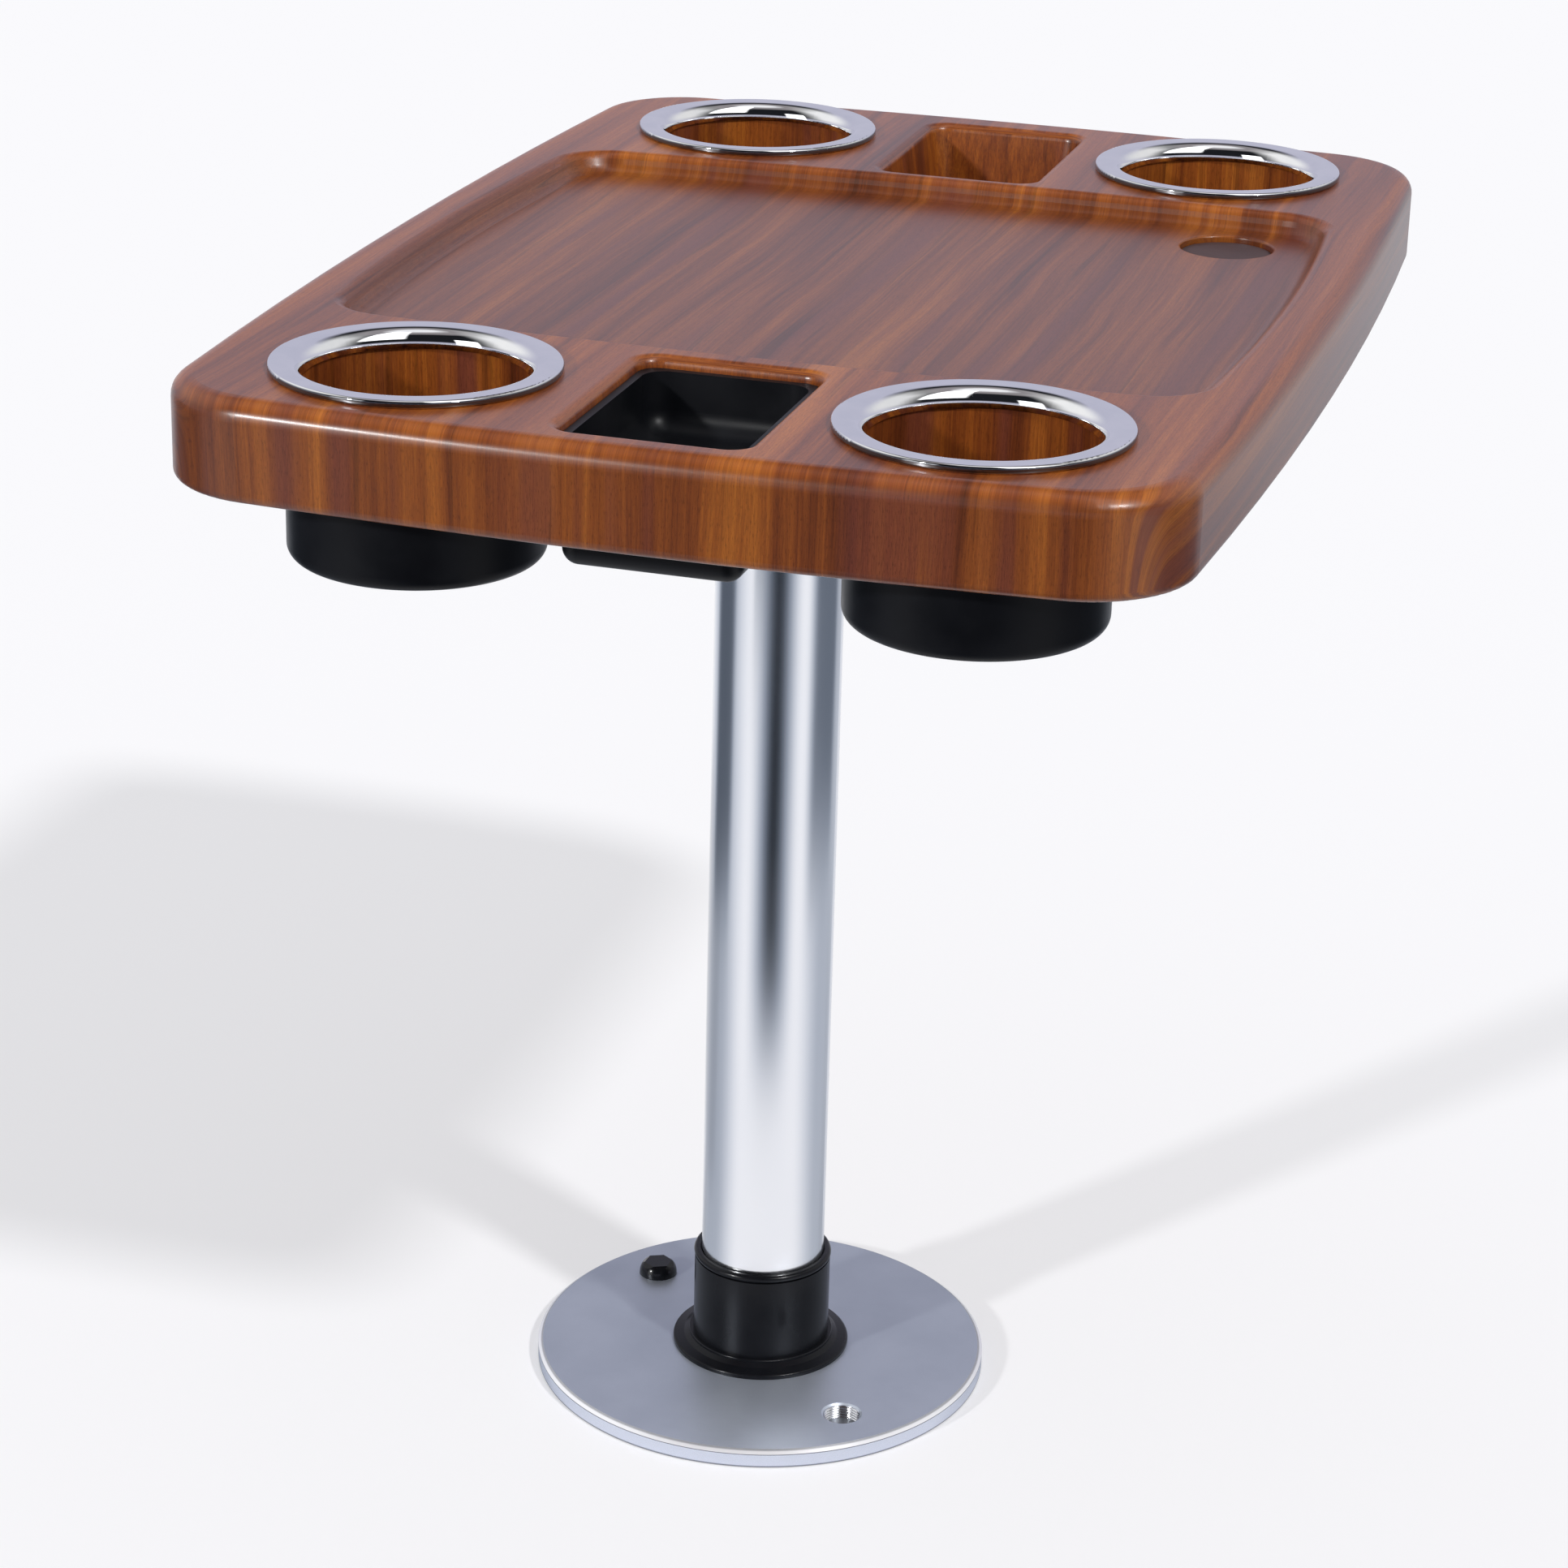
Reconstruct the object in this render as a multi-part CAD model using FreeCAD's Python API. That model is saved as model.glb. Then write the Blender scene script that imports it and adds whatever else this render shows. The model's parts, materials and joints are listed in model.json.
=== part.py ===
import FreeCAD, Part

import math
import os

# Boat table: a moulded wooden top with four drink holders, on a round pedestal.
# Millimetres, +Z up. The origin is on the post's axis, on the floor.
# X runs across the top and Y along it.

# Overall sizes
table_height = 562.5
board_length = 626.0
board_width = 436.5
top_offset = 31.5

# Gaps between pieces, and the overrun of every cut
overrun = 2.0
seat_gap = 0.1
turning_gap = 0.08
screw_gap = 0.05
sliding_gap = 0.2

# Wooden top
board_thickness = 42.5
board_side_bow = 10.0
board_end_bow = 10.0
board_corner_radius = 48.0
board_top_round = 9.0
board_bottom_round = 4.0

# Sunken middle of the top
recess_side_margin = 19.5
recess_end_margin = 142.0
recess_side_bow = 8.0
recess_end_bow = 6.0
recess_corner_radius = 30.0
recess_depth = 9.5
recess_wall_run = 4.4
recess_rim_round = 5.5
recess_floor_round = 7.0

# Inlaid plug in the sunken middle
plug_diameter = 43.0
plug_thickness = 3.6
plug_inset = 3.0
plug_edge_round = 0.6
plug_rim_round = 1.2
plug_side_margin = 54.0
plug_end_margin = 45.0

# Pocket at each end of the top
pocket_width = 78.0
pocket_length = 112.0
pocket_corner_radius = 9.0
pocket_rim_round = 4.5
near_pocket_end_margin = 75.0
far_pocket_end_margin = 80.5
far_pocket_depth = 34.0
far_pocket_draft = 4.5
far_pocket_floor_round = 4.0

# Lift-out tray in the near pocket
tray_lip_drop = 5.0
tray_lip_thickness = 2.0
tray_ledge = 1.4
tray_wall = 2.2
tray_depth = 25.0
tray_floor_round = 9.0
tray_inner_corner = 10.0
tray_reach_below = 14.5
tray_foot_round = 7.0
tray_rib_count = 3

# Drink holders
cup_inward_shift = 10.475
cup_end_margin = 77.55
ring_diameter = 119.8
ring_opening = 92.0
ring_thickness = 3.4
ring_flare = 7.0
ring_edge_round = 1.3
ring_skirt_wall = 1.4
ring_skirt_depth = 4.6
cup_diameter = 107.0
cup_wall = 2.2
cup_seat_depth = 10.0
cup_reach_below = 36.0
cup_foot_round = 6.0

# Round post
post_diameter = 60.3
post_wall = 3.0

# Plug in the post's lower end
foot_flange_thickness = 2.0
foot_flange_inset = 0.2
foot_spigot_depth = 16.0
foot_wall = 3.0

# Cast receiver under the top
receiver_flange_diameter = 150.0
receiver_flange_thickness = 5.0
receiver_flange_round = 1.5
receiver_hub_wall = 7.0
receiver_hub_depth = 42.0
receiver_hub_round = 1.5
rib_count = 6
rib_thickness = 5.0
rib_flange_margin = 6.0
rib_hub_margin = 8.0

# Screws of the receiver
receiver_screw_count = 6
receiver_screw_circle = 124.0
receiver_screw_diameter = 4.8
receiver_screw_grip = 20.0
receiver_head_diameter = 9.6
receiver_head_height = 3.2
receiver_head_slope = 1.2
receiver_cross_length = 5.0
receiver_cross_width = 1.3
receiver_cross_depth = 1.8
set_screw_count = 2
set_screw_diameter = 8.0
set_screw_rise = 18.0
set_screw_flats = 4.0
set_screw_socket_depth = 3.0
set_screw_proud = 0.4

# Base plate and the cover that closes it from below
plate_diameter = 221.4
plate_thickness = 9.0
plate_bevel_width = 2.2
plate_bevel_height = 1.7
plate_floor_chamfer = 0.4
plate_skin = 2.6
plate_bore_gap = 0.5
cover_diameter = 206.0
cover_thickness = 1.6
cover_screw_count = 6
cover_screw_circle = 190.0
cover_screw_diameter = 3.0
cover_screw_length = 5.0
cover_head_diameter = 5.6
cover_head_height = 1.2
cover_cross_length = 3.2
cover_cross_width = 0.8
cover_cross_depth = 0.8

# Stations in the plate: one open threaded hole and one button
station_radius = 83.5
thread_angle = -45.0
thread_diameter = 18.0
thread_chamfer = 0.9
button_angle = 146.0

# Socket collar on the plate
collar_diameter = 67.0
collar_top = 56.4
collar_wall = 1.8
collar_flange_diameter = 87.0
collar_flange_edge = 1.3
collar_flange_round = 1.1
collar_step_diameter = 76.4
collar_step_rise = 3.5
collar_slope_diameter = 71.4
collar_slope_rise = 5.0
collar_bead_rise = 6.4
collar_bead_round = 0.6
collar_screw_count = 4
collar_screw_circle = 79.4
collar_screw_diameter = 3.0
collar_screw_depth = 2.2
collar_head_diameter = 5.6
collar_head_height = 1.6

# Swivel bushing inside the collar
bushing_head_height = 3.8
bushing_head_overhang = 0.4
bushing_lip = 0.7

# Release button
button_diameter = 19.0
button_height = 6.4
button_travel = 2.5
button_straight = 1.2
button_shoulder_out = 0.75
button_shoulder_share = 0.55
button_crown_diameter = 14.2
button_crown_flats = 12.2
button_crown_slope = 1.5
button_cone_height = 2.1
button_cone_growth = 2.1

# Brake slider, its pad and its spring
slider_width = 14.0
slider_frame_width = 32.0
slider_window_width = 25.6
slider_frame_wall = 2.4
pad_length = 4.8
pad_tenon_width = 5.0
pad_tenon_length = 3.0
slot_width = 5.2
slot_start = 12.0
slot_length = 15.0
boss_length = 3.0
spring_wire = 0.8
spring_diameter = 4.0
spring_turns = 6

# Worked-out places
up = FreeCAD.Vector(0, 0, 1)
half_turn = 180.0
full_turn = 360.0
hexagon_sides = 6
board_top = table_height
board_bottom = board_top - board_thickness
post_radius = post_diameter / 2
sleeve_radius = post_radius + turning_gap
collar_radius = collar_diameter / 2
collar_bore = collar_radius - collar_wall
skin_bottom = plate_thickness - plate_skin
slider_low = cover_thickness + sliding_gap
slider_high = skin_bottom - sliding_gap
post_bottom = cover_thickness + seat_gap + foot_flange_thickness
post_top = board_bottom - receiver_flange_thickness
pocket_far_y = board_length / 2 - far_pocket_end_margin
pocket_near_y = near_pocket_end_margin - board_length / 2
recess_width = board_width - 2 * recess_side_margin
recess_length = board_length - 2 * recess_end_margin
recess_floor = board_top - recess_depth
plug_x = recess_width / 2 - plug_side_margin
plug_y = recess_length / 2 - plug_end_margin


# Shapes that several pieces share

def disc(radius, low, high, x=0, y=0):
    return Part.makeCylinder(radius, high - low, FreeCAD.Vector(x, y, low))


def ring(outer, inner, low, high, x=0, y=0):
    return disc(outer, low, high, x, y).cut(disc(inner, low - overrun, high + overrun, x, y))


def turned(shape, angle):
    copy = shape.copy()
    copy.rotate(FreeCAD.Vector(0, 0, 0), up, angle)
    return copy


def moved(shape, x, y, z=0):
    copy = shape.copy()
    copy.translate(FreeCAD.Vector(x, y, z))
    return copy


def around(shape, count, start=0):
    """Copies of a shape evenly round the post's axis."""
    return [turned(shape, start + full_turn * k / count) for k in range(count)]


def revolve(start, *steps):
    """A solid of revolution. A step is (r, z) for a line, or (r, z, mid_r, mid_z) for an arc."""
    edges = []
    here = FreeCAD.Vector(start[0], 0, start[1])
    for step in list(steps) + [start]:
        there = FreeCAD.Vector(step[0], 0, step[1])
        if len(step) > 2:
            edges.append(Part.Arc(here, FreeCAD.Vector(step[2], 0, step[3]), there).toShape())
        else:
            edges.append(Part.makeLine(here, there))
        here = there
    face = Part.Face(Part.Wire(edges))
    return face.revolve(FreeCAD.Vector(0, 0, 0), up, full_turn)


def rounding(r, z, radius, toward_r, toward_z):
    """The middle of the arc that rounds the corner (r, z); the signs point into the solid."""
    bend = radius * (1 - math.sqrt(0.5))
    return (r + toward_r * bend, z + toward_z * bend)


def bowed_block(width, length, side_bow, end_bow, corner_radius, low, high):
    """A block whose four sides bulge outwards and whose upright edges are rounded."""
    x = width / 2
    y = length / 2
    corner_x = x - side_bow
    corner_y = y - end_bow
    points = [
        (corner_x, -corner_y, x, 0),
        (corner_x, corner_y, 0, y),
        (-corner_x, corner_y, -x, 0),
        (-corner_x, -corner_y, 0, -y),
    ]
    edges = []
    for k, (px, py, mid_x, mid_y) in enumerate(points):
        next_x, next_y = points[(k + 1) % len(points)][:2]
        ends = [FreeCAD.Vector(px, py, low), FreeCAD.Vector(next_x, next_y, low)]
        edges.append(Part.Arc(ends[0], FreeCAD.Vector(mid_x, mid_y, low), ends[1]).toShape())
    solid = Part.Face(Part.Wire(edges)).extrude(FreeCAD.Vector(0, 0, high - low))
    return solid.makeFillet(corner_radius, upright_edges(solid))


def rounded_wire(width, length, radius, z):
    """A rectangle with round corners at one height."""
    x = width / 2
    y = length / 2
    bend = radius * (1 - math.sqrt(0.5))
    arcs = []
    for sx, sy in [(1, -1), (1, 1), (-1, 1), (-1, -1)]:
        on_side = FreeCAD.Vector(sx * x, sy * (y - radius), z)
        on_end = FreeCAD.Vector(sx * (x - radius), sy * y, z)
        middle = FreeCAD.Vector(sx * (x - bend), sy * (y - bend), z)
        enter, leave = (on_side, on_end) if sx == sy else (on_end, on_side)
        arcs.append((enter, middle, leave))
    edges = []
    for k, (enter, middle, leave) in enumerate(arcs):
        edges.append(Part.Arc(enter, middle, leave).toShape())
        edges.append(Part.makeLine(leave, arcs[(k + 1) % len(arcs)][0]))
    return Part.Wire(edges)


def rounded_block(width, length, radius, low, high):
    face = Part.Face(rounded_wire(width, length, radius, low))
    return face.extrude(FreeCAD.Vector(0, 0, high - low))


def upright_edges(solid):
    found = []
    for edge in solid.Edges:
        ends = [v.Point for v in edge.Vertexes]
        if len(ends) == 2 and math.hypot(ends[0].x - ends[1].x, ends[0].y - ends[1].y) < seat_gap:
            found.append(edge)
    return found


def edges_at(solid, z, x=0, y=0, reach_x=None, reach_y=None):
    """The edges that lie level at a height, all of them or those within a reach of a point."""
    found = []
    for edge in solid.Edges:
        box = edge.BoundBox
        level = abs(box.ZMin - z) < seat_gap and abs(box.ZMax - z) < seat_gap
        inside = reach_x is None or (
            abs(box.XMin - x) < reach_x and abs(box.XMax - x) < reach_x
            and abs(box.YMin - y) < reach_y and abs(box.YMax - y) < reach_y
        )
        if level and inside:
            found.append(edge)
    return found


def cup_places():
    """Name and centre of each drink holder: midway from pocket to side, then shifted inward."""
    x = (board_width + pocket_width) / 4 - cup_inward_shift
    y = board_length / 2 - cup_end_margin
    return {
        "near_left": (top_offset - x, -y),
        "near_right": (top_offset + x, -y),
        "far_left": (top_offset - x, y),
        "far_right": (top_offset + x, y),
    }


# Wooden top

def board_blank():
    """The slab with bowed sides, round corners and rounded upper and lower edges."""
    slab = bowed_block(
        board_width, board_length, board_side_bow, board_end_bow, board_corner_radius,
        board_bottom, board_top,
    )
    slab = slab.makeFillet(board_top_round, edges_at(slab, board_top))
    slab = slab.makeFillet(board_bottom_round, edges_at(slab, board_bottom))
    return moved(slab, top_offset, 0)


def recess_outline(inset, z):
    """The outline of the sunken middle, drawn in by an inset, at one height."""
    block = bowed_block(
        recess_width - 2 * inset, recess_length - 2 * inset, recess_side_bow, recess_end_bow,
        recess_corner_radius - inset, z, z + overrun,
    )
    return Part.Wire(Part.__sortEdges__(edges_at(block, z)))


def recess_tool():
    """The dished middle: walls that lean outwards, and a hollow curve where they meet the floor."""
    wall_angle = math.atan2(recess_depth, recess_wall_run)
    mouth_inset = recess_rim_round * math.tan(wall_angle / 2)
    slope = recess_wall_run / recess_depth
    top = recess_outline(mouth_inset - overrun * slope, board_top + overrun)
    bottom = recess_outline(mouth_inset + recess_wall_run, recess_floor)
    tool = Part.makeLoft([top, bottom], True, True)
    tool = tool.makeFillet(recess_floor_round, edges_at(tool, recess_floor))
    return moved(tool, top_offset, 0)


def near_pocket_tool():
    """A pocket right through the slab, stepped in where the tray's lip rests."""
    ledge = board_top - tray_lip_drop - tray_lip_thickness
    wide = rounded_block(pocket_width, pocket_length, pocket_corner_radius, ledge, board_top + overrun)
    narrow = rounded_block(
        pocket_width - 2 * tray_ledge, pocket_length - 2 * tray_ledge, pocket_corner_radius - tray_ledge,
        board_bottom - overrun, board_top,
    )
    return moved(wide.fuse(narrow), top_offset, pocket_near_y)


def far_pocket_tool():
    """A blind pocket whose walls lean inwards towards a rounded floor."""
    floor = board_top - far_pocket_depth
    slope = far_pocket_draft / far_pocket_depth
    rise = overrun * slope
    top = rounded_wire(
        pocket_width + 2 * rise, pocket_length + 2 * rise, pocket_corner_radius, board_top + overrun
    )
    bottom = rounded_wire(
        pocket_width - 2 * far_pocket_draft, pocket_length - 2 * far_pocket_draft,
        pocket_corner_radius, floor,
    )
    tool = Part.makeLoft([top, bottom], True, True)
    tool = tool.makeFillet(far_pocket_floor_round, edges_at(tool, floor))
    return moved(tool, top_offset, pocket_far_y)


def holder_tool(x, y):
    """A drink holder's hole, wider from below where the cup's rim seats."""
    hole = ring_opening / 2 + ring_skirt_wall + seat_gap
    seat = cup_diameter / 2 + seat_gap
    through = disc(hole, board_bottom - overrun, board_top + overrun, x, y)
    return through.fuse(disc(seat, board_bottom - overrun, board_bottom + cup_seat_depth, x, y))


def plug_seat():
    deep = plug_inset + plug_thickness
    return disc(
        plug_diameter / 2 + seat_gap, recess_floor - deep, recess_floor + overrun,
        top_offset + plug_x, plug_y,
    )


def round_plug_rim(board):
    reach = plug_diameter / 2 + overrun
    edges = edges_at(board, recess_floor, top_offset + plug_x, plug_y, reach, reach)
    return board.makeFillet(plug_rim_round, edges)


def round_rims(board):
    """Roll the upper edges of the sunken middle and of both pockets."""
    rims = [
        (recess_rim_round, 0, recess_width / 2, recess_length / 2),
        (pocket_rim_round, pocket_near_y, pocket_width / 2 + overrun, pocket_length / 2 + overrun),
        (pocket_rim_round, pocket_far_y, pocket_width / 2 + overrun, pocket_length / 2 + overrun),
    ]
    for radius, y, reach_x, reach_y in rims:
        board = board.makeFillet(radius, edges_at(board, board_top, top_offset, y, reach_x, reach_y))
    return board


def make_top_board():
    board = board_blank().cut(recess_tool())
    board = board.cut(near_pocket_tool())
    board = board.cut(far_pocket_tool())
    board = round_rims(board)
    for x, y in cup_places().values():
        board = board.cut(holder_tool(x, y))
    board = round_plug_rim(board.cut(plug_seat()))
    for hole in around(receiver_screw(screw_gap), receiver_screw_count, receiver_screw_start()):
        board = board.cut(hole)
    return board


def make_hole_plug():
    """The disc inlaid a little below the floor of the sunken middle."""
    top = recess_floor - plug_inset
    plug = disc(plug_diameter / 2, top - plug_thickness, top, top_offset + plug_x, plug_y)
    return plug.makeFillet(plug_edge_round, edges_at(plug, top))


# Lift-out tray

def tray_underside(width, length, low, high):
    """The cells that lighten the tray from below, with a rib between each two."""
    count = tray_rib_count + 1
    cell = (length - tray_rib_count * tray_wall) / count
    cells = []
    for k in range(count):
        block = rounded_block(width, cell, tray_wall, low - overrun, high)
        cells.append(moved(block, 0, (cell - length) / 2 + k * (cell + tray_wall)))
    return cells


def make_tray_insert():
    """A raised box with a narrow lip that hangs on the pocket's ledge, ribbed and open below."""
    lip_top = board_top - tray_lip_drop
    ledge = lip_top - tray_lip_thickness
    floor = lip_top - tray_depth
    bottom = board_bottom - tray_reach_below
    lip_width = pocket_width - 2 * sliding_gap
    lip_length = pocket_length - 2 * sliding_gap
    body_width = lip_width - 2 * tray_ledge
    body_length = lip_length - 2 * tray_ledge
    lip = rounded_block(lip_width, lip_length, pocket_corner_radius - sliding_gap, ledge, lip_top)
    corner = pocket_corner_radius - tray_ledge - sliding_gap
    body = rounded_block(body_width, body_length, corner, bottom, lip_top)
    body = body.makeFillet(tray_foot_round, edges_at(body, bottom))
    hollow = rounded_block(
        body_width - 2 * tray_wall, body_length - 2 * tray_wall, tray_inner_corner,
        floor, lip_top + overrun,
    )
    hollow = hollow.makeFillet(tray_floor_round, edges_at(hollow, floor))
    tray = lip.fuse(body).cut(hollow)
    foot_width = body_width - 2 * tray_foot_round
    foot_length = body_length - 2 * tray_foot_round
    for cell in tray_underside(foot_width, foot_length, bottom, floor - tray_wall):
        tray = tray.cut(cell)
    return moved(tray, top_offset, pocket_near_y)


# Drink holders

def make_cup_ring():
    """A polished ring: flat rim, bell mouth rolling into a short skirt."""
    inner = ring_opening / 2
    outer = ring_diameter / 2
    top = board_top + ring_thickness
    skirt = board_top - ring_skirt_depth
    skirt_outer = inner + ring_skirt_wall
    flare_mid = rounding(inner, top, ring_flare, 1, -1)
    edge_mid = rounding(outer, top, ring_edge_round, -1, -1)
    foot_mid = rounding(outer, board_top, ring_edge_round, -1, 1)
    return revolve(
        (inner, skirt),
        (inner, top - ring_flare),
        (inner + ring_flare, top) + flare_mid,
        (outer - ring_edge_round, top),
        (outer, top - ring_edge_round) + edge_mid,
        (outer, board_top + ring_edge_round),
        (outer - ring_edge_round, board_top) + foot_mid,
        (skirt_outer, board_top),
        (skirt_outer, skirt),
    )


def make_cup():
    """A black cup open at the top, with a rounded foot."""
    outer = cup_diameter / 2
    inner = outer - cup_wall
    rim = board_bottom + cup_seat_depth
    bottom = board_bottom - cup_reach_below
    floor = bottom + cup_wall
    inner_round = cup_foot_round - cup_wall
    outer_mid = rounding(outer, bottom, cup_foot_round, -1, 1)
    inner_mid = rounding(inner, floor, inner_round, -1, 1)
    return revolve(
        (0, bottom),
        (outer - cup_foot_round, bottom),
        (outer, bottom + cup_foot_round) + outer_mid,
        (outer, rim),
        (inner, rim),
        (inner, floor + inner_round),
        (inner - inner_round, floor) + inner_mid,
        (0, floor),
    )


# Post

def make_post_tube():
    return ring(post_radius, post_radius - post_wall, post_bottom, post_top)


def make_post_foot():
    """A hollow plug pressed into the tube's lower end, with a wearing flange under it."""
    bottom = cover_thickness + seat_gap
    flange = disc(post_radius - foot_flange_inset, bottom, post_bottom)
    spigot_radius = post_radius - post_wall - screw_gap
    spigot = ring(spigot_radius, spigot_radius - foot_wall, post_bottom, post_bottom + foot_spigot_depth)
    return flange.fuse(spigot)


# Receiver under the top

def cross_recess(length, width, depth, x, low):
    """The cross in a screw's head that faces down."""
    bars = []
    for span_x, span_y in [(length, width), (width, length)]:
        corner = FreeCAD.Vector(x - span_x / 2, -span_y / 2, low - overrun)
        bars.append(Part.makeBox(span_x, span_y, depth + overrun, corner))
    return bars[0].fuse(bars[1])


def receiver_rib():
    """One web between the hub and the flange, with a hollow-curved outer edge."""
    hub = post_radius + receiver_hub_wall
    reach = receiver_flange_diameter / 2 - rib_flange_margin
    foot = post_top - receiver_hub_depth + rib_hub_margin
    inner = hub - receiver_hub_wall / 2
    corners = [(inner, post_top), (reach, post_top), (hub, foot), (inner, foot)]
    ends = [FreeCAD.Vector(r, -rib_thickness / 2, z) for r, z in corners]
    third_share = 1 / 3
    middle = FreeCAD.Vector(
        hub + (reach - hub) * third_share, -rib_thickness / 2, post_top + (foot - post_top) * third_share
    )
    edges = [
        Part.makeLine(ends[0], ends[1]),
        Part.Arc(ends[1], middle, ends[2]).toShape(),
        Part.makeLine(ends[2], ends[3]),
        Part.makeLine(ends[3], ends[0]),
    ]
    return Part.Face(Part.Wire(edges)).extrude(FreeCAD.Vector(0, rib_thickness, 0))


def receiver_screw_start():
    """Screws stand midway between the ribs."""
    return half_turn / rib_count


def receiver_screw(grow=0):
    """A pan-head screw standing upright at the angle zero, its shank grown for its hole."""
    x = receiver_screw_circle / 2
    tip = board_bottom + receiver_screw_grip
    shank = disc(receiver_screw_diameter / 2 + grow, post_top - grow, tip + grow, x, 0)
    if grow:
        return shank
    head_low = post_top - receiver_head_height
    head = disc(receiver_head_diameter / 2, head_low, post_top, x, 0)
    head = head.makeChamfer(receiver_head_slope, edges_at(head, head_low))
    cross = cross_recess(receiver_cross_length, receiver_cross_width, receiver_cross_depth, x, head_low)
    return head.fuse(shank).cut(cross)


def hexagon(flats, x, z):
    """A six-sided face across the angle zero."""
    reach = flats / math.sqrt(3)
    corners = []
    for k in range(hexagon_sides + 1):
        angle = math.radians(k * full_turn / hexagon_sides)
        corners.append(FreeCAD.Vector(x, reach * math.cos(angle), z + reach * math.sin(angle)))
    return Part.Face(Part.makePolygon(corners))


def set_screw(grow=0):
    """A socket screw that presses on the post through the hub's wall, at the angle zero."""
    hub = post_radius + receiver_hub_wall
    start = post_radius + screw_gap
    z = post_top - receiver_hub_depth + set_screw_rise
    length = hub - start + set_screw_proud
    along = FreeCAD.Vector(1, 0, 0)
    body = Part.makeCylinder(set_screw_diameter / 2 + grow, length, FreeCAD.Vector(start, 0, z), along)
    if grow:
        return body
    socket_start = start + length - set_screw_socket_depth
    socket = hexagon(set_screw_flats, socket_start, z).extrude(along * length)
    return body.cut(socket)


def make_top_receiver():
    """A cast flange and hub with ribs, screwed under the top and clamped on the post."""
    outer = receiver_flange_diameter / 2
    hub = post_radius + receiver_hub_wall
    bore = post_radius + seat_gap
    foot = post_top - receiver_hub_depth
    edge_mid = rounding(outer, post_top, receiver_flange_round, -1, 1)
    hub_mid = rounding(hub, foot, receiver_hub_round, -1, 1)
    body = revolve(
        (0, board_bottom),
        (0, post_top),
        (bore, post_top),
        (bore, foot),
        (hub - receiver_hub_round, foot),
        (hub, foot + receiver_hub_round) + hub_mid,
        (hub, post_top),
        (outer - receiver_flange_round, post_top),
        (outer, post_top + receiver_flange_round) + edge_mid,
        (outer, board_bottom),
    )
    for web in around(receiver_rib(), rib_count):
        body = body.fuse(web)
    for hole in around(receiver_screw(screw_gap), receiver_screw_count, receiver_screw_start()):
        body = body.cut(hole)
    for hole in around(set_screw(screw_gap), set_screw_count, receiver_screw_start()):
        body = body.cut(hole)
    return body.removeSplitter()


# Base plate

def countersunk(x, head_diameter, head_height, diameter, low, high, grow=0):
    """A screw that points up from a flush conical head, or its hole when grown."""
    cone = Part.makeCone(
        head_diameter / 2 + grow, diameter / 2 + grow, head_height, FreeCAD.Vector(x, 0, low)
    )
    shank = disc(diameter / 2 + grow, low, high + grow, x, 0)
    solid = cone.fuse(shank)
    if grow:
        solid = solid.fuse(disc(head_diameter / 2 + grow, low - overrun, low, x, 0))
    return solid


def cover_screw(grow=0):
    x = cover_screw_circle / 2
    screw = countersunk(
        x, cover_head_diameter, cover_head_height, cover_screw_diameter, 0, cover_screw_length, grow,
    )
    if grow:
        return screw
    return screw.cut(cross_recess(cover_cross_length, cover_cross_width, cover_cross_depth, x, 0))


def collar_screw(grow=0):
    return countersunk(
        collar_screw_circle / 2, collar_head_diameter, collar_head_height, collar_screw_diameter,
        cover_thickness + seat_gap, plate_thickness + collar_screw_depth, grow,
    )


def cover_screw_start():
    """Cover screws stand clear of the button's bay."""
    return button_angle + half_turn / cover_screw_count


def collar_screw_start():
    """Collar screws stand clear of the brake's channel."""
    return button_angle + half_turn / collar_screw_count


def thread_place():
    angle = math.radians(thread_angle)
    return station_radius * math.cos(angle), station_radius * math.sin(angle)


def frame_inner():
    """Inner face of the slider's window, clear of the button's cone over the whole travel."""
    cone = button_diameter / 2 + button_cone_growth
    return station_radius - cone - button_travel - sliding_gap


def frame_outer():
    """Outer face of the slider's frame."""
    return ramp_place(slider_high) + slider_frame_wall


def ramp_place(z):
    """Where the slider's ramp stands at a height, beside the button's cone."""
    cone_low = skin_bottom - seat_gap - button_cone_height
    grown = button_cone_growth * (z - cone_low) / button_cone_height
    gap = seat_gap * math.sqrt(2)
    return station_radius + button_diameter / 2 + grown + gap


def brake_channel():
    """The hollow in the plate's underside that holds the brake, along the angle zero."""
    narrow = slider_width / 2 + sliding_gap
    wide = slider_frame_width / 2 + sliding_gap
    end = frame_outer() + button_travel + sliding_gap
    wide_start = frame_inner() - slider_frame_wall - sliding_gap
    depth = skin_bottom
    start = post_radius / 2
    bar = Part.makeBox(wide_start - start, 2 * narrow, depth, FreeCAD.Vector(start, -narrow, 0))
    bay = Part.makeBox(end - wide_start, 2 * wide, depth, FreeCAD.Vector(wide_start, -wide, 0))
    channel = bar.fuse(bay)
    boss_width = slot_width - 2 * sliding_gap
    boss = Part.makeBox(
        boss_length, boss_width, skin_bottom - slider_low,
        FreeCAD.Vector(boss_start(), -boss_width / 2, slider_low),
    )
    return channel.cut(boss)


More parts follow.
